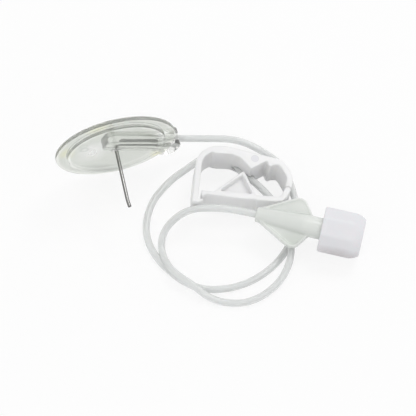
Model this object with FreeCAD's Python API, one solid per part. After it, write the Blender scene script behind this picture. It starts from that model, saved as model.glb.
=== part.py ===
# Huber needle set: bent needle in a clear plate, extension tube, pinch clamp, winged luer and cap.
# Millimetres, +Z up, standing on Z = 0 as it lies after use, with the needle plate on its edge.
import FreeCAD, Part
import math
import os

Vector = FreeCAD.Vector
Rotation = FreeCAD.Rotation
Placement = FreeCAD.Placement

# Needle, 19 gauge
needle_od = 1.07
needle_bore = 0.69
needle_reach = 20.6  # tip below the middle of the plate
needle_bend = 2.75  # radius of the right-angle bend on its centreline
needle_inner_end = 24.4  # end of the level leg, inside the tube
tip_length = 3.2  # part of the shaft that curves away
tip_deflection = 11.0  # degrees
bevel_angle = 22.0  # degrees from the shaft

# Plate: a soft oval disc with a thin flange round a thicker pad
plate_length = 36.9
plate_width = 39.6
flange_width = 3.4
flange_thick = 1.3
pad_above = 0.9
pad_below = 1.5
step_round = 0.45

# Hub: a clear bar on the plate that ends in a block wrapped round the plate's edge
hub_start = -3.4
hub_overhang = 3.05  # past the edge of the plate
hub_width = 6.4
hub_top = 4.9
hub_round = 1.5
block_start = 12.6
block_width = 8.4
block_below = 1.35
run_height = 2.4  # level leg of the needle above the middle of the plate
socket_start = 14.5  # where the tube's end seats
bond_gap = 0.03  # glue film round the needle and in the sockets
bead_radius = 1.55
bead_height = 0.5

# How the plate stands, in degrees
hub_heading = 16.0
hub_dip = 24.8
plate_roll = -81.1

# Extension tube
tube_od = 2.2
tube_bore = 1.2
tube_lead = 31.0  # first point of the route along the hub's axis, from the needle's axis
arc_share = 0.45  # share of the shorter run that an arc takes

# Pinch clamp, in its own plan: X along it, Y away from the viewer
clamp_depth = 9.6
clamp_lean = 6.0  # degrees, left side raised
clamp_middle = (36.0, 0.15)
frame_wall = 1.9
arm_wall = 1.3
root_wall = 1.8
wall_foot = (-13.6, -10.9)
arch_left = (-11.9, 8.45)
arch_right = (-3.6, 8.4)
lobe_top = (13.2, 4.6)
lobe_side = (15.9, -0.8)
hinge_at = (14.9, -4.9)
arm_corner = (13.4, -8.5)
arm_bow = (1.0, -8.4)
arm_end_y = -7.3
arch_radius = 6.4
crown_radius = 12.0
lobe_radius = 4.0
corner_radius = 2.6
upper_jaw = (3.7, 1.7)
upper_jaw_flank = [(-8.9, 7.7), (-7.4, 6.6), (-2.0, 6.6), (0.3, 5.6)]
flank_radius = 2.0
upper_jaw_notch = (8.3, 4.7)
lower_jaw = (1.45, 1.0)
lower_jaw_left = (-8.4, -7.4)
lower_jaw_right = (5.5, -8.0)
jaw_round = 0.45
rib_wall = 0.9
pocket_floor = 7.3
bump_outline = [(8.5, 5.6), (9.0, 3.5), (9.7, 2.9), (10.9, 3.55), (12.9, 3.6), (13.3, 4.4)]
bump_radius = 0.5
arm_bow_radius = 40.0
nose_drop = 1.75
hook_reach = 1.5
hook_thick = 1.15
foot_chamfer = (2.6, 2.8)  # under the free wall's end, back and up
knuckle_gap = 0.12
end_gap = 0.75
passage_gap = 0.25  # round the tube where it goes through the clamp's walls

# Winged luer connector, along its own X from the tail
luer_tail = (41.6, -13.6)
luer_heading = -11.9  # degrees
luer_dip = 4.8  # the cap end is the lower one
luer_roll = 10.0  # far wing raised
tail_od = 4.6
neck_od = 6.7
neck_start = 15.5
mouth_at = 29.3
tube_seat = 7.0  # tube's end inside the tail
flow_bore = 1.3
socket_mouth_d = 4.30
socket_depth = 8.6
luer_taper = 0.06
lug_od = 7.8
lug_width = 2.6
lug_thick = 1.3
wing_tip = (13.2, 9.0)
wing_shoulder = (17.0, 3.3)
wing_tip_radius = 3.0
wing_shoulder_radius = 1.2
wing_thick = 1.5
wing_rim = 0.9
wing_rim_height = 0.45

# Cap, screwed on over the lugs
cap_start = 20.4
cap_length = 12.9
cap_flats = 13.5
cap_sides = 8
cap_turn = 12.0  # degrees
cap_chamfer = 1.5
cap_edge_round = 0.9
cap_end_wall = 2.2
lug_gap = 0.2
cone_gap = 0.04
cone_length = 8.2
cone_bore = 1.6

# Route of the tube past the hub, one point for each bend
tube_route = [
    (36.1, 17.3, 2.7),
    (44.1, 13.8, 1.1),
    (50.4, 8.3, 1.1),
    (53.1, -0.1, 1.1),
    (55.1, -10.4, 1.1),
    (50.9, -22.5, 1.1),
    (43.2, -30.8, 1.1),
    (33.4, -35.2, 1.1),
    (22.6, -34.9, 1.1),
    (13.1, -27.2, 1.1),
    (7.5, -17.1, 1.1),
    (8.8, -5.4, 1.1),
    (14.8, 3.0, 1.1),
    (20.9, 7.9, 1.2),
    (25.7, 11.5, 1.6),
    (32.7, 11.3, 3.0),
    (37.0, 5.0, 3.8),
    (41.9, -0.1, 5.0),
    (46.2, -4.9, 4.7),
    (49.8, -11.0, 3.5),
    (52.0, -16.8, 3.5),
    (52.6, -26.0, 3.6),
    (48.1, -34.3, 1.6),
    (39.2, -40.2, 1.1),
    (28.8, -39.4, 1.2),
    (22.6, -35.1, 3.6),
    (15.8, -30.1, 3.6),
    (12.4, -21.9, 1.1),
    (13.4, -13.6, 1.1),
    (20.4, -6.8, 1.1),
    (29.2, -8.2, 4.4),
]
tail_lead = 5.0  # last free point of the route before the connector's tail

needle_r = needle_od / 2
tube_r = tube_od / 2
plate_end = plate_length / 2
hub_end = plate_end + hub_overhang


def unit(v):
    return Vector(v).normalize()


def flat(point, z=0.0):
    return Vector(point[0], point[1], z)


def corner_arc(before, at, after, radius):
    """Tangent points and middle of an arc that rounds one corner."""
    back = unit(before - at)
    on = unit(after - at)
    half = back.getAngle(on) / 2
    reach = radius / math.tan(half)
    middle = at + unit(back + on) * (radius / math.sin(half) - radius)
    return at + back * reach, middle, at + on * reach


def rounded_wire(points, radii, closed=True):
    """Straight runs joined by tangent arcs; a radius of 0 keeps the corner sharp."""
    count = len(points)
    stops = []
    for i in range(count):
        ends = not closed and i in (0, count - 1)
        if ends or radii[i] <= 0:
            stops.append((points[i], None, points[i]))
        else:
            stops.append(corner_arc(points[i - 1], points[i], points[(i + 1) % count], radii[i]))
    edges = []
    last = count if closed else count - 1
    for i in range(count):
        start, middle, end = stops[i]
        if middle is not None:
            edges.append(Part.Arc(start, middle, end).toShape())
        if i < last:
            following = stops[(i + 1) % count][0]
            if (following - end).Length > 1e-6:
                edges.append(Part.LineSegment(end, following).toShape())
    return Part.Wire(edges)


def slab(points, radii, low, high):
    """A flat outline with rounded corners, raised from low to high."""
    wire = rounded_wire([flat(p, low) for p in points], radii)
    return Part.Face(wire).extrude(Vector(0, 0, high - low))


def strip(points, radii, width, low, high):
    """A wall of one thickness that follows a line of points."""
    line = [flat(p) for p in points]
    left, right, left_r, right_r = [], [], [], []
    for i, p in enumerate(line):
        back = unit(p - line[i - 1]) if i else unit(line[1] - p)
        on = unit(line[i + 1] - p) if i < len(line) - 1 else back
        side = unit(Vector(-back.y - on.y, back.x + on.x, 0))
        mitre = width / 2 / side.dot(Vector(-back.y, back.x, 0))
        bend = math.copysign(1, back.x * on.y - back.y * on.x)
        left.append(p + side * mitre)
        right.append(p - side * mitre)
        radius = radii[i]
        left_r.append(max(radius - bend * width / 2, 0) if radius else 0)
        right_r.append(max(radius + bend * width / 2, 0) if radius else 0)
    wire = rounded_wire(left + right[::-1], left_r + right_r[::-1])
    wire.translate(Vector(0, 0, low))
    return Part.Face(wire).extrude(Vector(0, 0, high - low))


def swept(wire, start, direction, radius):
    circle = Part.Wire(Part.Circle(start, direction, radius).toShape())
    return wire.makePipeShell([circle], True, False)


def swept_hollow(wire, start, direction, radius, bore):
    """A tube: both walls swept on their own and closed by a ring at each end."""
    walls = []
    for r in (radius, bore):
        circle = Part.Wire(Part.Circle(start, direction, r).toShape())
        walls.append(wire.makePipeShell([circle], False, False))
    rings = []
    for stop in (start, wire.OrderedVertexes[-1].Point):
        rims = []
        for wall in walls:
            closed = [e for e in wall.Edges if e.isClosed()]
            rims.append(Part.Wire(min(closed, key=lambda e: (e.CenterOfMass - stop).Length)))
        rings.append(Part.Face(rims))
    shell = Part.makeShell([f for wall in walls for f in wall.Faces] + rings)
    shell.sewShape()
    solid = Part.makeSolid(shell.Shells[0])
    solid.fix(1e-4, 1e-5, 1e-3)
    return solid


def rod(start, end, r_start, r_end=None):
    """A round bar or a cone between two points."""
    axis = end - start
    if r_end is None or abs(r_end - r_start) < 1e-9:
        return Part.makeCylinder(r_start, axis.Length, start, axis)
    return Part.makeCone(r_start, r_end, axis.Length, start, axis)


def soften(shape, radius, chosen):
    """Round the edges that a test picks."""
    edges = [e for e in shape.Edges if chosen(e)]
    return shape.makeFillet(radius, edges) if edges else shape


def route_radii(points):
    """Radius of the arc at each inner point of the tube's route."""
    radii = [0.0]
    for before, at, after in zip(points, points[1:], points[2:]):
        turn = (at - before).getAngle(after - at)
        run = min((at - before).Length, (after - at).Length)
        radii.append(arc_share * run / math.tan(turn / 2))
    return radii + [0.0]


# Needle, plate and hub, in the hub's own frame: X towards the tube, Z away from the tip


def needle_path():
    drop = -needle_reach
    shaft_end = Vector(0, 0, drop + tip_length)
    turn = math.radians(tip_deflection)
    tip_radius = tip_length / turn
    edges = [
        Part.LineSegment(
            Vector(needle_inner_end, 0, run_height), Vector(needle_bend, 0, run_height)
        ).toShape(),
        Part.Arc(
            Vector(needle_bend, 0, run_height),
            Vector(
                needle_bend * (1 - math.sin(math.pi / 4)),
                0,
                run_height - needle_bend * (1 - math.cos(math.pi / 4)),
            ),
            Vector(0, 0, run_height - needle_bend),
        ).toShape(),
        Part.LineSegment(Vector(0, 0, run_height - needle_bend), shaft_end).toShape(),
    ]
    edges.append(
        Part.Arc(
            shaft_end,
            shaft_end + Vector(1 - math.cos(turn / 2), 0, -math.sin(turn / 2)) * tip_radius,
            shaft_end + Vector(1 - math.cos(turn), 0, -math.sin(turn)) * tip_radius,
        ).toShape()
    )
    return Part.Wire(edges)


def needle_bar(radius):
    start = Vector(needle_inner_end, 0, run_height)
    return swept(needle_path(), start, Vector(-1, 0, 0), radius)


def make_needle():
    tube = needle_bar(needle_r).cut(needle_bar(needle_bore / 2))
    tip = needle_path().Edges[-1].Vertexes[-1].Point
    turn = math.radians(tip_deflection)
    along = Vector(math.sin(turn), 0, -math.cos(turn))
    across = Vector(math.cos(turn), 0, math.sin(turn))
    slope = math.radians(bevel_angle)
    face_along = along * math.cos(slope) - across * math.sin(slope)
    face_out = along * math.sin(slope) + across * math.cos(slope)
    reach = needle_od * 4
    box = Part.makeBox(reach * 2, reach, reach)
    box.translate(Vector(-reach, -reach / 2, 0))
    start = tip + across * needle_r * 0.9
    turned = Rotation(face_along, Vector(0, 1, 0), face_out, "XZY")
    box.Placement = Placement(start, turned).multiply(box.Placement)
    return tube.cut(box)


def oval(length, width, low, high):
    half_length, half_width = Vector(length / 2, 0, low), Vector(0, width / 2, low)
    longer, shorter = (half_length, half_width) if length > width else (half_width, half_length)
    edge = Part.Ellipse(longer, shorter, Vector(0, 0, low))
    return Part.Face(Part.Wire(edge.toShape())).extrude(Vector(0, 0, high - low))


def make_plate():
    flange = oval(plate_length, plate_width, -flange_thick / 2, flange_thick / 2)
    flange = soften(flange, flange_thick * step_round, lambda e: e.Length > plate_end)
    inner = (plate_length - 2 * flange_width, plate_width - 2 * flange_width)
    pad = oval(*inner, -pad_below, pad_above)
    pad = soften(pad, step_round, lambda e: e.Length > plate_end)
    return flange.fuse(pad).removeSplitter().cut(needle_bar(needle_r + bond_gap))


def plate_seat():
    """The plate with sharp edges, for cutting the hub to it."""
    flange = oval(plate_length, plate_width, -flange_thick / 2, flange_thick / 2)
    pad = oval(plate_length - 2 * flange_width, plate_width - 2 * flange_width, -pad_below, pad_above)
    return flange.fuse(pad).removeSplitter()


def make_hub():
    half = hub_width / 2
    bar = slab(
        [(hub_start, -half), (block_start + 1, -half), (block_start + 1, half), (hub_start, half)],
        [hub_round, 0, 0, hub_round],
        pad_above - 0.2,
        hub_top,
    )
    wide = block_width / 2
    flare = hub_end - 4
    outline = [(block_start, -half), (flare, -wide), (hub_end, -wide)]
    outline += [(hub_end, wide), (flare, wide), (block_start, half)]
    corner = hub_round * 1.8
    block = slab(outline, [0, 1.5, corner, corner, 1.5, 0], -block_below, hub_top)
    body = bar.fuse(block).removeSplitter()
    body = soften(body, hub_round * 0.6, lambda e: min(v.Z for v in e.Vertexes) > hub_top - 0.01)
    body = soften(
        body,
        0.5,
        lambda e: max(v.Z for v in e.Vertexes) < -block_below + 0.01
        and min(v.X for v in e.Vertexes) > flare - 1,
    )
    seat_end = Vector(hub_end + 1, 0, run_height)
    socket = rod(Vector(socket_start, 0, run_height), seat_end, tube_r + bond_gap)
    return body.cut([plate_seat(), socket, needle_bar(needle_r + bond_gap)])


def make_bead():
    low = -pad_below
    bead = Part.makeCone(bead_radius, needle_r + 0.35, bead_height, Vector(0, 0, low), Vector(0, 0, -1))
    return bead.cut(rod(Vector(0, 0, low + 1), Vector(0, 0, low - 2), needle_r + bond_gap))


def stand(shapes):
    """Turn the plate group onto its edge and centre its box over the origin."""
    turn = (
        Rotation(Vector(0, 0, 1), hub_heading)
        .multiply(Rotation(Vector(0, 1, 0), hub_dip))
        .multiply(Rotation(Vector(1, 0, 0), plate_roll))
    )
    group = Part.makeCompound(shapes)
    group.Placement = Placement(Vector(0, 0, 0), turn)
    box = group.optimalBoundingBox(False, False)
    return Placement(Vector(-box.Center.x, -box.Center.y, -box.ZMin), turn)


# Clamp, in its own plan with Z through its depth


def clamp_place(points):
    turn = Rotation(Vector(0, 1, 0), clamp_lean)
    lowest = min(turn.multVec(p).z for p in points)
    return Placement(Vector(clamp_middle[0], clamp_middle[1], -lowest), turn)


def make_clamp_frame():
    low, high = -clamp_depth / 2, clamp_depth / 2
    wall = strip(
        [wall_foot, arch_left, arch_right, lobe_top, lobe_side, hinge_at],
        [0, arch_radius, crown_radius, lobe_radius, lobe_radius, 0],
        frame_wall,
        low,
        high,
    )
    half = frame_wall / 2
    outline = upper_jaw_flank + [upper_jaw, upper_jaw_notch, (upper_jaw_notch[0], lobe_top[1] + half)]
    flanks = [0] + [flank_radius] * (len(upper_jaw_flank) - 1)
    jaw = slab(outline, flanks + [jaw_round, 0.3, 0], low, high)
    bump = slab(bump_outline, [0] + [bump_radius] * (len(bump_outline) - 2) + [0], low, high)
    x, y = wall_foot
    reach = x + half + hook_reach
    outline = [(x - half, y), (reach - hook_reach * 0.6, y), (reach, y + 0.5)]
    outline += [(reach, y + hook_thick), (x, y + hook_thick)]
    hook = slab(outline, [0.3, 0.4, 0.2, 0.2, 0], low, high)
    back, up = foot_chamfer
    spare = 0.5
    corner = [
        Vector(x - 3, y - spare, low - spare),
        Vector(x - 3, y - spare, low + up + spare * up / back),
        Vector(x - 3, y + back + spare * back / up, low - spare),
    ]
    chamfer = Part.Face(Part.makePolygon(corner + corner[:1])).extrude(Vector(reach - x + 5, 0, 0))
    frame = wall.fuse([jaw, bump, hook]).removeSplitter().cut(chamfer)
    relief = Part.makeCylinder(frame_wall / 2 + knuckle_gap, clamp_depth + 2, flat(hinge_at, low - 1))
    return frame.cut(relief)


def make_clamp_arm():
    low, high = -clamp_depth / 2, clamp_depth / 2
    rise = (arm_end_y - wall_foot[1]) / (arch_left[1] - wall_foot[1])
    end_x = wall_foot[0] + (arch_left[0] - wall_foot[0]) * rise + frame_wall / 2 + end_gap
    spring = strip(
        [(end_x, arm_end_y), arm_bow, arm_corner],
        [0, arm_bow_radius, 0],
        arm_wall,
        low,
        high,
    )
    root = strip(
        [(lower_jaw_right[0], arm_bow[1]), arm_corner, hinge_at],
        [0, corner_radius, 0],
        root_wall,
        low,
        high,
    )
    knuckle = Part.makeCylinder(frame_wall / 2, clamp_depth, flat(hinge_at, low))
    outer = slab(
        [lower_jaw, lower_jaw_right, lower_jaw_left],
        [jaw_round, 0, 0],
        low,
        high,
    )
    inner_points = inset([lower_jaw, lower_jaw_right, lower_jaw_left], rib_wall)
    pocket = slab(inner_points, [0.3, 0.3, 0.3], low + pocket_floor, high + 1)
    outline = [(end_x, arm_end_y + arm_wall / 2), (end_x, arm_end_y - nose_drop)]
    outline += [(end_x + 1.6, arm_end_y - arm_wall / 2 - 0.1), (end_x + 2.4, arm_end_y)]
    nose = slab(outline, [0, 0.3, 0, 0], low, high)
    return outer.cut(pocket).fuse([spring, root, knuckle, nose]).removeSplitter()


def inset(points, wall):
    """A triangle drawn in from all three sides by one wall."""
    ring = [flat(p) for p in points]
    area = sum(a.x * b.y - b.x * a.y for a, b in zip(ring, ring[1:] + ring[:1]))
    sign = math.copysign(1, area)
    result = []
    for i, p in enumerate(ring):
        back = unit(p - ring[i - 1])
        on = unit(ring[(i + 1) % len(ring)] - p)
        side_a = Vector(-back.y, back.x, 0) * sign
        side_b = Vector(-on.y, on.x, 0) * sign
        spread = 1 + side_a.dot(side_b)
        moved = p + (side_a + side_b) * (wall / spread)
        result.append((moved.x, moved.y))
    return result


# Connector and cap, along their own X axis


def make_connector():
    tail_r, neck_r = tail_od / 2, neck_od / 2
    core = rod(Vector(0, 0, 0), Vector(neck_start, 0, 0), tail_r, neck_r)
    neck = rod(Vector(neck_start, 0, 0), Vector(mouth_at, 0, 0), neck_r)
    tip, shoulder = wing_tip, wing_shoulder
    outline = [(0.6, -tail_r * 0.8), (tip[0], -tip[1]), (shoulder[0], -shoulder[1])]
    outline += [(shoulder[0] + 0.6, 0), (shoulder[0], shoulder[1]), (tip[0], tip[1])]
    outline += [(0.6, tail_r * 0.8)]
    tip_r, shoulder_r = wing_tip_radius, wing_shoulder_radius
    radii = [0.4, tip_r, shoulder_r, 0, shoulder_r, tip_r, 0.4]
    half = wing_thick / 2
    wings = slab(outline, radii, -half, half)
    rim = slab(outline, radii, -half - wing_rim_height, half + wing_rim_height)
    shrink = 1 - wing_rim / tip[1]
    inner = [(tip[0] * (1 - shrink) * 0.9 + x * shrink, y * shrink) for x, y in outline]
    hollow = slab(inner, [r * 0.8 for r in radii], -half - 2, half + 2)
    corner = Vector(mouth_at - lug_thick, -lug_od / 2, -lug_width / 2)
    lugs = Part.makeBox(lug_thick, lug_od, lug_width, corner)
    ring = rod(Vector(mouth_at - lug_thick, 0, 0), Vector(mouth_at, 0, 0), lug_od / 2)
    body = core.fuse([neck, wings, rim.cut(hollow), lugs.common(ring)]).removeSplitter()
    seat = rod(Vector(-1, 0, 0), Vector(tube_seat, 0, 0), tube_r + bond_gap)
    flow = rod(Vector(tube_seat - 1, 0, 0), Vector(mouth_at, 0, 0), flow_bore / 2)
    mouth_r = socket_mouth_d / 2
    socket = rod(
        Vector(mouth_at - socket_depth, 0, 0),
        Vector(mouth_at + 1, 0, 0),
        mouth_r - luer_taper / 2 * socket_depth,
        mouth_r + luer_taper / 2,
    )
    return body.cut([seat, flow, socket])


def make_cap():
    corner_r = cap_flats / 2 / math.cos(math.pi / cap_sides)
    ring = []
    for i in range(cap_sides):
        angle = math.radians(cap_turn + 360 / cap_sides * i)
        ring.append((corner_r * math.sin(angle), corner_r * math.cos(angle)))
    shell = slab(ring, [cap_edge_round] * cap_sides, 0, cap_length)
    straight = cap_length - 2 * cap_chamfer
    turned = Part.makeCylinder(corner_r, straight)
    turned = turned.fuse(
        Part.makeCone(corner_r, corner_r - cap_chamfer, 2 * cap_chamfer, Vector(0, 0, straight))
    )
    shell = shell.common(turned)
    bore = Part.makeCylinder(lug_od / 2 + lug_gap, cap_length - cap_end_wall)
    mouth_r = socket_mouth_d / 2 - cone_gap
    base = cap_length - cap_end_wall
    mouth = mouth_at - cap_start
    root_r = mouth_r + luer_taper / 2 * (base - mouth)
    tip_r = mouth_r - luer_taper / 2 * (cone_length - (base - mouth))
    cone = Part.makeCone(tip_r, root_r, cone_length, Vector(0, 0, base - cone_length))
    cone = cone.cut(Part.makeCylinder(cone_bore / 2, cone_length - 1, Vector(0, 0, base - cone_length)))
    cap = shell.cut(bore).fuse(cone).removeSplitter()
    cap.Placement = Placement(Vector(cap_start, 0, 0), Rotation(Vector(0, 1, 0), 90))
    return cap


def luer_place(cap):
    turn = (
        Rotation(Vector(0, 0, 1), luer_heading)
        .multiply(Rotation(Vector(0, 1, 0), luer_dip))
        .multiply(Rotation(Vector(1, 0, 0), luer_roll))
    )
    drop = placed(cap, Placement(Vector(0, 0, 0), turn)).optimalBoundingBox(False, False).ZMin
    return Placement(Vector(luer_tail[0], luer_tail[1], -drop), turn)


def make_tube(points):
    radii = route_radii(points)
    wire = rounded_wire(points, radii, closed=False)
    start, heading = points[0], unit(points[1] - points[0])
    section = math.pi * (tube_od**2 - tube_bore**2) / 4
    solid = swept_hollow(wire, start, heading, tube_r, tube_bore / 2)
    expected = section * wire.Length
    print("tube length %.1f, volume %.2f, expected %.2f" % (wire.Length, solid.Volume, expected))
    print("arc radii", [round(r, 1) for r in radii[1:-1]])
    return solid, wire


def placed(shape, placement):
    copy = shape.copy()
    copy.Placement = placement.multiply(copy.Placement)
    return copy


def main():
    os.makedirs("parts", exist_ok=True)
    plate = make_plate()
    hub = make_hub()
    needle = make_needle()
    bead = make_bead()
    standing = stand([plate, hub, needle])
    print("plate group moved by", standing.Base)

    cap = make_cap()
    along_luer = luer_place(cap)

    tube_points = [
        standing.multVec(Vector(socket_start, 0, run_height)),
        standing.multVec(Vector(tube_lead, 0, run_height)),
    ]
    tube_points += [Vector(*p) for p in tube_route]
    tube_points += [
        along_luer.multVec(Vector(-tail_lead, 0, 0)),
        along_luer.multVec(Vector(tube_seat, 0, 0)),
    ]
    tube, tube_wire = make_tube(tube_points)
    for p in tube_points:
        print("  point", tuple(round(c, 2) for c in p))

    frame = make_clamp_frame()
    arm = make_clamp_arm()
    bottom = [v.Point for v in frame.Vertexes + arm.Vertexes]
    leaning = clamp_place(bottom)
    print("clamp at", leaning.Base, "hinge", leaning.multVec(flat(hinge_at)))
    heading = unit(tube_points[1] - tube_points[0])
    passage = swept(tube_wire, tube_points[0], heading, tube_r + passage_gap)
    parts = {
        "needle_cannula": placed(needle, standing),
        "base_plate": placed(plate, standing),
        "needle_hub": placed(hub, standing),
        "adhesive_bead": placed(bead, standing),
        "tubing": tube,
        "clamp_frame": placed(frame, leaning).cut(passage),
        "clamp_arm": placed(arm, leaning).cut(passage),
        "luer_connector": placed(make_connector(), along_luer),
        "luer_cap": placed(cap, along_luer),
    }
    for name, shape in parts.items():
        solids = shape.Solids
        print(name, "solids", len(solids), "valid", shape.isValid(), "volume %.2f" % shape.Volume)
        kept = solids[0] if len(solids) == 1 else Part.makeCompound(solids)
        kept.exportStep("parts/%s.step" % name)


main()
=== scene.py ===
import bpy
import bmesh
import math
from mathutils import Matrix, Vector


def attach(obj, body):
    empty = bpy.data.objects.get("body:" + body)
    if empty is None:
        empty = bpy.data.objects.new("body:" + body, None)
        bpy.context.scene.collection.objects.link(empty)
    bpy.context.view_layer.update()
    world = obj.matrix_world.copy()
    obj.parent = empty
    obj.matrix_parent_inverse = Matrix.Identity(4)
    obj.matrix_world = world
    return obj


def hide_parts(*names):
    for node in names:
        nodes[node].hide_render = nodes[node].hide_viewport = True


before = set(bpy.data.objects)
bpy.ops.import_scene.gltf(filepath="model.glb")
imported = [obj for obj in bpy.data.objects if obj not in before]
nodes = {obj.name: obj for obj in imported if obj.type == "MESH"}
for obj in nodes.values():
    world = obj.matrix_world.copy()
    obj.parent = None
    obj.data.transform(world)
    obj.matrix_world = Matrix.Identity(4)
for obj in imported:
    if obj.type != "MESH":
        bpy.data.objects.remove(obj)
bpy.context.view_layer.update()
scene = bpy.context.scene

mmEach = 1000.0  # millimetres in a metre
grainHeight = 0.00005  # of the moulded texture, in metres
mergeWithin = 0.000002  # distance between the CAD mesh's loose corners, in metres


def turned(heading, dip, roll):
    return (
        Matrix.Rotation(math.radians(heading), 4, "Z")
        @ Matrix.Rotation(math.radians(dip), 4, "Y")
        @ Matrix.Rotation(math.radians(roll), 4, "X")
    )


# where each group of pieces stands, in metres and degrees
plateAt = Matrix.Translation((-0.001354, 0.005043, 0.019386)) @ turned(16.0, 24.8, -81.1)
clampAt = Matrix.Translation((0.036, 0.00015, 0.006496)) @ turned(0.0, 6.0, 0.0)
luerAt = Matrix.Translation((0.0416, -0.0136, 0.0098)) @ turned(-11.9, 4.8, 10.0)


# camera, at the photograph's angle
cameraLook = {
    "aim": Vector((0.026954, -0.005793, 0.0)),
    "elevation": 60.0,
    "across": 0.128,  # width of the view at the aim
    "lens": 400.0,
    "sensor": 36.0,
}


def makeCamera(look):
    data = bpy.data.cameras.new("camera")
    data.lens = look["lens"]
    data.sensor_width = look["sensor"]
    data.clip_start = 0.05
    data.clip_end = 10.0
    cam = bpy.data.objects.new("camera", data)
    scene.collection.objects.link(cam)
    up = math.radians(look["elevation"])
    back = Vector((0.0, -math.cos(up), math.sin(up)))
    cam.location = look["aim"] + back * (look["across"] * look["lens"] / look["sensor"])
    cam.rotation_euler = (-back).to_track_quat("-Z", "Y").to_euler()
    scene.camera = cam
    return cam


makeCamera(cameraLook)
print("camera placed")


# materials


def newGroup(name, inputs, outputs):
    group = bpy.data.node_groups.new(name, "ShaderNodeTree")
    for label, kind, value in inputs:
        socket = group.interface.new_socket(label, in_out="INPUT", socket_type=kind)
        if value is not None:
            socket.default_value = value
    for label, kind in outputs:
        group.interface.new_socket(label, in_out="OUTPUT", socket_type=kind)
    start = group.nodes.new("NodeGroupInput")
    end = group.nodes.new("NodeGroupOutput")
    return group, start, end


def addNode(tree, kind, links=None, **settings):
    node = tree.nodes.new(kind)
    for key, value in settings.items():
        setattr(node, key, value)
    for key, value in (links or {}).items():
        if isinstance(value, bpy.types.NodeSocket):
            tree.links.new(value, node.inputs[key])
        else:
            node.inputs[key].default_value = value
    return node


def addMath(tree, operation, *values):
    return addNode(tree, "ShaderNodeMath", dict(enumerate(values)), operation=operation).outputs[0]


def addVectorMath(tree, operation, *values):
    return addNode(tree, "ShaderNodeVectorMath", dict(enumerate(values)), operation=operation)


def addRange(tree, value, low, high, bottom=0.0):
    # value from low to high becomes bottom to 1
    links = {"Value": value, "From Min": low, "From Max": high, "To Min": bottom}
    return addNode(tree, "ShaderNodeMapRange", links).outputs["Result"]


def makeMouldedGrain():
    # fine tooled texture with a slow drift in gloss
    floats = "NodeSocketFloat"
    inputs = [
        ("Vector", "NodeSocketVector", None),
        ("Grain Scale", floats, 2200.0),
        ("Grain Depth", floats, 0.1),
        ("Roughness", floats, 0.4),
        ("Roughness Spread", floats, 0.1),
        ("Drift Scale", floats, 140.0),
    ]
    outputs = [("Roughness", floats), ("Drift", floats), ("Normal", "NodeSocketVector")]
    group, start, end = newGroup("mouldedGrain", inputs, outputs)
    fine = addNode(group, "ShaderNodeTexNoise", {
        "Vector": start.outputs["Vector"],
        "Scale": start.outputs["Grain Scale"],
        "Detail": 3.0,
        "Roughness": 0.55,
    })
    slow = addNode(group, "ShaderNodeTexNoise", {
        "Vector": start.outputs["Vector"],
        "Scale": start.outputs["Drift Scale"],
        "Detail": 2.0,
    })
    swing = addRange(group, slow.outputs["Fac"], 0.3, 0.7, bottom=-1.0)
    wide = addMath(
        group, "MULTIPLY_ADD", swing, start.outputs["Roughness Spread"], start.outputs["Roughness"]
    )
    bump = addNode(group, "ShaderNodeBump", {
        "Strength": start.outputs["Grain Depth"],
        "Distance": grainHeight,
        "Height": fine.outputs["Fac"],
    })
    group.links.new(wide, end.inputs["Roughness"])
    group.links.new(slow.outputs["Fac"], end.inputs["Drift"])
    group.links.new(bump.outputs["Normal"], end.inputs["Normal"])
    return group


mouldedGrain = makeMouldedGrain()


def makePieceFrame():
    # a point in a piece's own axes, in millimetres
    vectors = "NodeSocketVector"
    inputs = [
        ("Vector", vectors, None),
        ("Origin", vectors, None),
        ("Along", vectors, None),
        ("Across", vectors, None),
        ("Up", vectors, None),
    ]
    group, start, end = newGroup("pieceFrame", inputs, [("Local", vectors)])
    away = addVectorMath(group, "SUBTRACT", start.outputs["Vector"], start.outputs["Origin"])
    parts = []
    for label in ("Along", "Across", "Up"):
        share = addVectorMath(group, "DOT_PRODUCT", away.outputs[0], start.outputs[label])
        parts.append(addMath(group, "MULTIPLY", share.outputs["Value"], mmEach))
    whole = addNode(group, "ShaderNodeCombineXYZ", dict(enumerate(parts)))
    group.links.new(whole.outputs[0], end.inputs["Local"])
    return group


def makeSoftSpot():
    # 1 inside an ellipsoid that fades out over its softness
    vectors = "NodeSocketVector"
    floats = "NodeSocketFloat"
    inputs = [
        ("Local", vectors, None),
        ("Centre", vectors, None),
        ("Size", vectors, (1.0, 1.0, 1.0)),
        ("Softness", floats, 0.4),
        ("Break Up", floats, 0.2),
        ("Scale", floats, 0.6),
    ]
    group, start, end = newGroup("softSpot", inputs, [("Mask", floats)])
    away = addVectorMath(group, "SUBTRACT", start.outputs["Local"], start.outputs["Centre"])
    even = addVectorMath(group, "DIVIDE", away.outputs[0], start.outputs["Size"])
    far = addVectorMath(group, "LENGTH", even.outputs[0])
    cloud = addNode(group, "ShaderNodeTexNoise", {
        "Vector": start.outputs["Local"],
        "Scale": start.outputs["Scale"],
        "Detail": 3.0,
    })
    lift = addMath(group, "SUBTRACT", cloud.outputs["Fac"], 0.5)
    rough = addMath(group, "MULTIPLY_ADD", lift, start.outputs["Break Up"], far.outputs["Value"])
    inner = addMath(group, "SUBTRACT", 1.0, start.outputs["Softness"])
    group.links.new(addRange(group, rough, 1.0, inner), end.inputs["Mask"])
    return group


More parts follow.
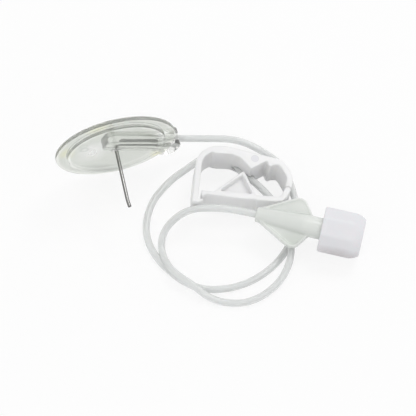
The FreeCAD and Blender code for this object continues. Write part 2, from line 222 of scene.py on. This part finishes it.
def makeRingMark():
    # a narrow ring round the Up axis of a piece, oval where it's stretched
    vectors = "NodeSocketVector"
    floats = "NodeSocketFloat"
    inputs = [
        ("Local", vectors, None),
        ("Centre", vectors, None),
        ("Stretch", vectors, (1.0, 1.0, 1.0)),
        ("Radius", floats, 1.0),
        ("Width", floats, 0.15),
        ("Lowest", floats, 0.0),
    ]
    group, start, end = newGroup("ringMark", inputs, [("Ring", floats), ("Disc", floats)])
    away = addVectorMath(group, "SUBTRACT", start.outputs["Local"], start.outputs["Centre"])
    even = addVectorMath(group, "DIVIDE", away.outputs[0], start.outputs["Stretch"])
    split = addNode(group, "ShaderNodeSeparateXYZ", {0: even.outputs[0]})
    plan = addNode(group, "ShaderNodeCombineXYZ", {0: split.outputs["X"], 1: split.outputs["Y"]})
    far = addVectorMath(group, "LENGTH", plan.outputs[0])
    off = addMath(group, "SUBTRACT", far.outputs["Value"], start.outputs["Radius"])
    ring = addRange(group, addMath(group, "ABSOLUTE", off), start.outputs["Width"], 0.0)
    disc = addRange(group, off, 0.0, -0.1)
    deep = addNode(group, "ShaderNodeSeparateXYZ", {0: start.outputs["Local"]})
    high = addMath(group, "GREATER_THAN", deep.outputs["Z"], start.outputs["Lowest"])
    for label, mask in (("Ring", ring), ("Disc", disc)):
        group.links.new(addMath(group, "MULTIPLY", mask, high), end.inputs[label])
    return group


pieceFrame = makePieceFrame()
softSpot = makeSoftSpot()
ringMark = makeRingMark()


def startMaterial(name):
    material = bpy.data.materials.new(name)
    material.use_nodes = True
    tree = material.node_tree
    shader = tree.nodes["Principled BSDF"]
    coords = tree.nodes.new("ShaderNodeTexCoord")
    return material, tree, shader, coords.outputs["Object"]


def mixColour(tree, factor, first, second):
    # inputs 6 and 7 and output 2 are the node's colours
    mix = tree.nodes.new("ShaderNodeMix")
    mix.data_type = "RGBA"
    for socket, value in ((mix.inputs["Factor"], factor), (mix.inputs[6], first), (mix.inputs[7], second)):
        if isinstance(value, bpy.types.NodeSocket):
            tree.links.new(value, socket)
        else:
            socket.default_value = value if isinstance(value, float) else (*value, 1.0)
    return mix.outputs[2]


def placeGrain(tree, shader, vector, values):
    grain = addNode(tree, "ShaderNodeGroup", {"Vector": vector, **values}, node_tree=mouldedGrain)
    tree.links.new(grain.outputs["Normal"], shader.inputs["Normal"])
    return grain


def placeFrame(tree, vector, place):
    along, across, up = (column.xyz for column in place.col[:3])
    axes = {"Vector": vector, "Origin": place.translation, "Along": along, "Across": across, "Up": up}
    return addNode(tree, "ShaderNodeGroup", axes, node_tree=pieceFrame).outputs["Local"]


def placeMask(tree, group, local, values, output):
    return addNode(tree, "ShaderNodeGroup", {"Local": local, **values}, node_tree=group).outputs[output]


def lightShadow(tree, shader, share):
    # clear plastic lets most of the light through
    rays = tree.nodes.new("ShaderNodeLightPath")
    part = addMath(tree, "MULTIPLY", rays.outputs["Is Shadow Ray"], share)
    through = tree.nodes.new("ShaderNodeBsdfTransparent")
    mix = addNode(tree, "ShaderNodeMixShader", {0: part, 1: shader.outputs["BSDF"], 2: through.outputs[0]})
    tree.links.new(mix.outputs[0], tree.nodes["Material Output"].inputs["Surface"])


def plasticMaterial(name, look):
    material, tree, shader, vector = startMaterial(name)
    grain = placeGrain(tree, shader, vector, look["grain"])
    colour = mixColour(tree, grain.outputs["Drift"], look["colour"], look["drift"])
    roughness = grain.outputs["Roughness"]
    if "place" in look:
        local = placeFrame(tree, vector, look["place"])
        # soft spots and rings of colour: some are the plastic's own tints and marks, some are painted shade
        # and painted light
        for spot in look.get("spots", []):
            mask = placeMask(tree, softSpot, local, spot["values"], "Mask")
            colour = mixColour(tree, mask, colour, spot["colour"])
            if "roughness" in spot:
                mix = addNode(tree, "ShaderNodeMix", {0: mask, 2: roughness, 3: spot["roughness"]})
                roughness = mix.outputs[0]
        for mark in look.get("marks", []):
            mask = placeMask(tree, ringMark, local, mark["values"], mark["output"])
            colour = mixColour(tree, mask, colour, mark["colour"])
    # painted shade: the colour darkens where the surface turns away from the view
    if "edge" in look:
        facingForPaintedShade = addNode(tree, "ShaderNodeLayerWeight", {"Blend": 0.5})
        part = addRange(tree, facingForPaintedShade.outputs["Facing"], look["edge"]["from"], look["edge"]["to"])
        colour = mixColour(tree, part, colour, look["edge"]["colour"])
    tree.links.new(colour, shader.inputs["Base Color"])
    tree.links.new(roughness, shader.inputs["Roughness"])
    for key, value in look["shader"].items():
        shader.inputs[key].default_value = value
    if "shadow" in look:
        lightShadow(tree, shader, look["shadow"])
    return material


clampLook = {
    "colour": (0.85, 0.85, 0.852),
    "drift": (0.885, 0.885, 0.887),
    "grain": {"Grain Depth": 0.08, "Roughness": 0.36, "Roughness Spread": 0.06},
    "shader": {
        "IOR": 1.49,
        "Subsurface Weight": 0.5,
        "Subsurface Radius": (0.003, 0.003, 0.0028),
        "Subsurface Scale": 1.0,
    },
    "place": clampAt,
    "marks": [
        {
            "values": {"Centre": (4.9, 5.4, 0.0), "Radius": 1.1, "Width": 0.16, "Lowest": 4.4},
            "output": "Ring",
            "colour": (0.66, 0.66, 0.69),
        },
        {
            "values": {"Centre": (4.9, 5.4, 0.0), "Radius": 1.0, "Lowest": 4.4},
            "output": "Disc",
            "colour": (0.76, 0.76, 0.79),
        },
    ],
}
capLook = {
    "colour": (0.81, 0.81, 0.84),
    "drift": (0.85, 0.85, 0.875),
    "grain": {"Grain Depth": 0.12, "Roughness": 0.5, "Roughness Spread": 0.05},
    "shader": {
        "IOR": 1.49,
        "Subsurface Weight": 0.25,
        "Subsurface Radius": (0.0016, 0.0012, 0.0013),
        "Subsurface Scale": 0.5,
    },
    "place": luerAt,
    "spots": [
        # painted shade: darker along the cap's lower front side
        {
            "values": {"Centre": (27.0, -7.0, -0.6), "Size": (10.0, 3.4, 4.6), "Softness": 0.7},
            "colour": (0.58, 0.555, 0.57),
        },
    ],
}
luerLook = {
    "colour": (0.71, 0.74, 0.71),
    "drift": (0.78, 0.80, 0.77),
    "grain": {"Grain Depth": 0.05, "Roughness": 0.2, "Roughness Spread": 0.05},
    "shader": {
        "IOR": 1.5,
        "Subsurface Weight": 0.6,
        "Subsurface Radius": (0.003, 0.003, 0.003),
        "Subsurface Scale": 0.6,
    },
    "shadow": 0.3,
    "place": luerAt,
    "spots": [
        # painted shade: darker over the near wing's recess
        {
            "values": {
                "Centre": (13.0, -6.0, 0.5),
                "Size": (6.0, 3.6, 3.0),
                "Softness": 0.7,
                "Break Up": 0.4,
            },
            "colour": (0.68, 0.71, 0.67),
        },
        # painted light: the far wing lighter than the near one
        {
            "values": {"Centre": (14.0, 6.0, 0.5), "Size": (6.0, 3.6, 3.0), "Softness": 0.7, "Break Up": 0.4},
            "colour": (0.78, 0.80, 0.77),
        },
        # painted light: lighter over the top of the neck
        {
            "values": {"Centre": (19.5, 0.5, 2.0), "Size": (7.0, 4.5, 5.0), "Softness": 0.8, "Break Up": 0.4},
            "colour": (0.84, 0.86, 0.83),
        },
    ],
}
hubLook = {
    "colour": (0.97, 0.975, 0.96),
    "drift": (0.99, 0.99, 0.98),
    "grain": {"Grain Depth": 0.02, "Roughness": 0.03, "Roughness Spread": 0.02},
    "shader": {"IOR": 1.36, "Transmission Weight": 0.94},
    "shadow": 0.6,
}
plateLook = {
    "colour": (0.71, 0.735, 0.69),
    "drift": (0.78, 0.80, 0.76),
    "grain": {"Grain Depth": 0.02, "Roughness": 0.05, "Roughness Spread": 0.03},
    "shader": {"IOR": 1.22, "Transmission Weight": 0.84},
    "shadow": 0.5,
    "place": plateAt,
    "spots": [
        {
            "values": {
                "Centre": (-7.0, 1.8, -1.5),
                "Size": (6.0, 8.0, 4.0),
                "Softness": 0.9,
                "Break Up": 0.7,
                "Scale": 0.5,
            },
            "colour": (1.0, 1.0, 1.0),
            "roughness": 0.3,
        },
        {
            "values": {
                "Centre": (-14.5, 4.5, 0.0),
                "Size": (3.0, 4.5, 3.0),
                "Softness": 0.8,
                "Break Up": 0.5,
            },
            "colour": (0.80, 0.80, 0.58),
        },
        {
            "values": {
                "Centre": (-12.5, -12.5, 0.0),
                "Size": (6.0, 5.0, 3.0),
                "Softness": 0.9,
                "Break Up": 0.6,
            },
            "colour": (0.82, 0.82, 0.62),
        },
        {
            "values": {"Centre": (16.0, 4.5, 0.0), "Size": (2.5, 3.0, 3.0), "Softness": 0.8, "Break Up": 0.4},
            "colour": (0.84, 0.82, 0.52),
        },
        # painted shade: a darker band along the plate's lower rim
        {
            "values": {
                "Centre": (4.0, 15.2, 0.0),
                "Size": (13.0, 3.4, 4.0),
                "Softness": 0.7,
                "Break Up": 0.5,
            },
            "colour": (0.46, 0.48, 0.45),
        },
    ],
    "marks": [
        {
            "values": {"Centre": (-11.0, 0.0, 0.0), "Radius": 1.2, "Width": 0.35, "Lowest": -9.0},
            "output": "Ring",
            "colour": (0.50, 0.53, 0.49),
        },
        # painted highlights: light rings round the plate's recess and along its rim
        {
            "values": {"Stretch": (0.918, 1.0, 1.0), "Radius": 16.5, "Width": 0.45, "Lowest": -9.0},
            "output": "Ring",
            "colour": (0.86, 0.88, 0.84),
        },
        {
            "values": {"Stretch": (0.918, 1.0, 1.0), "Radius": 15.6, "Width": 0.6, "Lowest": -9.0},
            "output": "Ring",
            "colour": (0.97, 0.98, 0.96),
        },
        {
            "values": {"Stretch": (0.932, 1.0, 1.0), "Radius": 19.75, "Width": 1.4, "Lowest": -9.0},
            "output": "Ring",
            "colour": (0.98, 0.99, 0.96),
        },
    ],
}
tubeLook = {
    "colour": (0.95, 0.965, 0.96),
    "drift": (0.98, 0.99, 0.985),
    "grain": {"Grain Depth": 0.0, "Roughness": 0.13, "Roughness Spread": 0.04},
    "shader": {"IOR": 1.4, "Transmission Weight": 0.4},
    "shadow": 0.5,
}
steelLook = {
    "colour": (0.26, 0.259, 0.252),
    "drift": (0.34, 0.339, 0.332),
    # painted shade: the needle darkens towards its edges as its surface turns from view
    "edge": {"from": 0.08, "to": 0.42, "colour": (0.055, 0.055, 0.052)},
    "grain": {"Grain Depth": 0.1, "Roughness": 0.2, "Roughness Spread": 0.06},
    "shader": {"Metallic": 1.0},
    "place": plateAt,
    # painted shade: the cannula's leg inside the hub nearly black
    "spots": [
        {
            "values": {
                "Centre": (12.0, 0.0, 2.4),
                "Size": (14.0, 2.0, 2.0),
                "Softness": 0.1,
                "Break Up": 0.0,
            },
            "colour": (0.02, 0.02, 0.018),
        },
    ],
}
beadLook = {
    "colour": (0.88, 0.89, 0.87),
    "drift": (0.93, 0.93, 0.92),
    "grain": {"Grain Depth": 0.05, "Roughness": 0.1, "Roughness Spread": 0.04},
    "shader": {"IOR": 1.5, "Transmission Weight": 0.85},
    "shadow": 0.5,
}

whiteClamp = plasticMaterial("whiteClampPlastic", clampLook)
whiteCap = plasticMaterial("whiteCapPlastic", capLook)
hazyLuer = plasticMaterial("hazyLuerPlastic", luerLook)
clearHub = plasticMaterial("clearHubVinyl", hubLook)
clearPlate = plasticMaterial("clearPlateVinyl", plateLook)
clearTube = plasticMaterial("clearTubeVinyl", tubeLook)
needleSteel = plasticMaterial("needleSteel", steelLook)
clearGlue = plasticMaterial("clearGlue", beadLook)
print("materials made")


def dress(name, material):
    for item in nodes[name].material_slots:
        item.material = material


dress("needle_cannula", needleSteel)
dress("adhesive_bead", clearGlue)


def startCopy(node, values):
    # the CAD mesh is loose triangles, so the copy is merged into faces first
    made = bmesh.new()
    made.from_mesh(nodes[node].data)
    bmesh.ops.remove_doubles(made, verts=made.verts, dist=mergeWithin)
    if values.get("flatten"):
        bmesh.ops.dissolve_limit(
            made,
            angle_limit=math.radians(values["flatten"]),
            verts=made.verts,
            edges=made.edges,
            use_dissolve_boundaries=False,
            delimit=set(),
        )
    return made


def keepCopy(made, node, name, material, body):
    mesh = bpy.data.meshes.new(name)
    made.to_mesh(mesh)
    made.free()
    piece = bpy.data.objects.new(name, mesh)
    scene.collection.objects.link(piece)
    mesh.materials.clear()
    mesh.materials.append(material)
    for face in mesh.polygons:
        face.material_index = 0
    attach(piece, body)
    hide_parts(node)
    return piece


def roundedCopy(node, name, values, material, body):
    made = startCopy(node, values)
    sharp = math.radians(values["sharper_than"])
    edges = [e for e in made.edges if len(e.link_faces) == 2 and e.calc_face_angle() > sharp]
    bmesh.ops.bevel(
        made,
        geom=edges,
        offset=values["round"],
        offset_type="OFFSET",
        segments=values["steps"],
        profile=0.5,
        affect="EDGES",
        clamp_overlap=True,
        material=-1,
    )
    for face in made.faces:
        face.smooth = True
    crease = math.radians(values["crease"])
    for edge in made.edges:
        edge.smooth = len(edge.link_faces) != 2 or edge.calc_face_angle() < crease
    piece = keepCopy(made, node, name, material, body)
    lean = piece.modifiers.new("evenShading", "WEIGHTED_NORMAL")
    lean.keep_sharp = True
    return piece


def melted(node, name, values, material, body):
    made = startCopy(node, values)
    for face in made.faces:
        face.smooth = True
    piece = keepCopy(made, node, name, material, body)
    grid = piece.modifiers.new("evenSkin", "REMESH")
    grid.mode = "VOXEL"
    grid.voxel_size = values["voxel"]
    grid.use_smooth_shade = True
    soft = piece.modifiers.new("softEdges", "SMOOTH")
    soft.factor = 0.5
    soft.iterations = values["passes"]
    return piece


frameSkin = {"voxel": 0.0002, "passes": 7}
clampFrame = melted("clamp_frame", "clampFrameSmooth", frameSkin, whiteClamp, "needle_set")
armSkin = {"voxel": 0.0002, "passes": 7}
clampArm = melted("clamp_arm", "clampArmSmooth", armSkin, whiteClamp, "squeeze_arm")
print("clamp smoothed")
capSkin = {"voxel": 0.00028, "passes": 22}
endCap = melted("luer_cap", "luerCapSmooth", capSkin, whiteCap, "end_cap")
luerSkin = {"voxel": 0.00018, "passes": 14}
luerEnd = melted("luer_connector", "luerConnectorSmooth", luerSkin, hazyLuer, "needle_set")
print("luer end and cap smoothed")
plateRounding = {"flatten": 1.0, "sharper_than": 30.0, "round": 0.00016, "steps": 2, "crease": 42.0}
plate = roundedCopy("base_plate", "basePlateRounded", plateRounding, clearPlate, "needle_set")
hubSkin = {"voxel": 0.00017, "passes": 8}
hub = melted("needle_hub", "needleHubSmooth", hubSkin, clearHub, "needle_set")
print("plate and hub rounded")

# extension tube, from the hub's socket to the connector's tail
tubeValues = {
    "outer": 0.0022,
    "bore": 0.0012,
    "length": 0.3217,
    "route": [
        (0.01080, 0.01099, 0.01364),
        (0.02519, 0.01512, 0.00672),
        (0.03610, 0.01730, 0.00270),
        (0.04410, 0.01380, 0.00110),
        (0.05040, 0.00830, 0.00110),
        (0.05310, -0.00010, 0.00110),
        (0.05510, -0.01040, 0.00110),
        (0.05090, -0.02250, 0.00110),
        (0.04320, -0.03080, 0.00110),
        (0.03340, -0.03520, 0.00110),
        (0.02260, -0.03490, 0.00110),
        (0.01310, -0.02720, 0.00110),
        (0.00750, -0.01710, 0.00110),
        (0.00880, -0.00540, 0.00110),
        (0.01480, 0.00300, 0.00110),
        (0.02090, 0.00790, 0.00120),
        (0.02570, 0.01150, 0.00160),
        (0.03270, 0.01130, 0.00300),
        (0.03700, 0.00500, 0.00380),
        (0.04190, -0.00010, 0.00500),
        (0.04620, -0.00490, 0.00470),
        (0.04980, -0.01100, 0.00350),
        (0.05200, -0.01680, 0.00350),
        (0.05260, -0.02600, 0.00360),
        (0.04810, -0.03430, 0.00160),
        (0.03920, -0.04020, 0.00110),
        (0.02880, -0.03940, 0.00120),
        (0.02260, -0.03510, 0.00360),
        (0.01580, -0.03010, 0.00360),
        (0.01240, -0.02190, 0.00110),
        (0.01340, -0.01562, 0.00460),
        (0.02040, -0.01188, 0.00990),
        (0.02920, -0.01218, 0.01130),
        (0.03672, -0.01257, 0.01021),
        (0.04843, -0.01504, 0.00921),
    ],
}


def makeTube(values):
    curve = bpy.data.curves.new("extensionTube", "CURVE")
    curve.dimensions = "3D"
    curve.resolution_u = 10
    curve.bevel_depth = values["outer"] / 2
    curve.bevel_resolution = 6
    curve.use_fill_caps = False
    spline = curve.splines.new("NURBS")
    spline.points.add(len(values["route"]) - 1)
    for point, place in zip(spline.points, values["route"]):
        point.co = (*place, 1.0)
    spline.order_u = 3
    spline.use_endpoint_u = True
    tube = bpy.data.objects.new("extensionTube", curve)
    scene.collection.objects.link(tube)
    wall = tube.modifiers.new("wall", "SOLIDIFY")
    wall.thickness = (values["outer"] - values["bore"]) / 2
    wall.offset = -1.0
    curve.materials.append(clearTube)
    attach(tube, "needle_set")
    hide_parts("tubing")
    return tube


tube = makeTube(tubeValues)
print("tube laid")

def seesRoom(tree):
    # 1 for the camera and for what is mirrored or seen through clear plastic
    rays = tree.nodes.new("ShaderNodeLightPath")
    direct = addMath(tree, "MAXIMUM", rays.outputs["Is Camera Ray"], rays.outputs["Is Glossy Ray"])
    return addMath(tree, "MAXIMUM", direct, rays.outputs["Is Transmission Ray"])


# floor, world and lamps
floorValues = {"half": 3.0, "colour": (0.97, 0.97, 0.97), "glow": 0.82}
lampValues = {
    "key": {"at": (0.34, 0.34, 0.82), "size": 0.3, "power": 1.7},
    "fill": {"at": (-0.5, -0.55, 0.6), "size": 0.7, "power": 0.7},
}
worldLevel = 0.74


def makeFloor(values):
    mesh = bpy.data.meshes.new("floor")
    made = bmesh.new()
    bmesh.ops.create_grid(made, x_segments=1, y_segments=1, size=values["half"])
    made.to_mesh(mesh)
    made.free()
    floor = bpy.data.objects.new("floor", mesh)
    scene.collection.objects.link(floor)
    material = bpy.data.materials.new("paleFloor")
    material.use_nodes = True
    tree = material.node_tree
    shader = tree.nodes["Principled BSDF"]
    shader.inputs["Base Color"].default_value = (*values["colour"], 1.0)
    shader.inputs["Roughness"].default_value = 0.9
    shader.inputs["Specular IOR Level"].default_value = 0.0
    part = addMath(tree, "MULTIPLY", seesRoom(tree), values["glow"])
    glow = addNode(tree, "ShaderNodeEmission", {"Color": (1.0, 1.0, 1.0, 1.0), "Strength": 1.0})
    mix = addNode(tree, "ShaderNodeMixShader", {0: part, 1: shader.outputs["BSDF"], 2: glow.outputs[0]})
    tree.links.new(mix.outputs[0], tree.nodes["Material Output"].inputs["Surface"])
    mesh.materials.append(material)
    return floor


def makeWorld(level):
    world = bpy.data.worlds.new("studio")
    scene.world = world
    world.use_nodes = True
    tree = world.node_tree
    back = tree.nodes["Background"]
    strength = addRange(tree, seesRoom(tree), 0.0, 1.0, bottom=level)
    back.inputs["Color"].default_value = (1.0, 1.0, 1.0, 1.0)
    tree.links.new(strength, back.inputs["Strength"])


def makeLamp(name, look, aim):
    data = bpy.data.lights.new(name, "AREA")
    data.shape = "DISK"
    data.size = look["size"]
    data.energy = look["power"]
    lamp = bpy.data.objects.new(name, data)
    scene.collection.objects.link(lamp)
    lamp.location = look["at"]
    lamp.rotation_euler = (aim - lamp.location).to_track_quat("-Z", "Y").to_euler()
    lamp.visible_camera = False
    return lamp


makeFloor(floorValues)
makeWorld(worldLevel)
for name, look in lampValues.items():
    makeLamp(name, look, cameraLook["aim"])
scene.view_settings.view_transform = "Standard"
print("floor, world and lamps set")
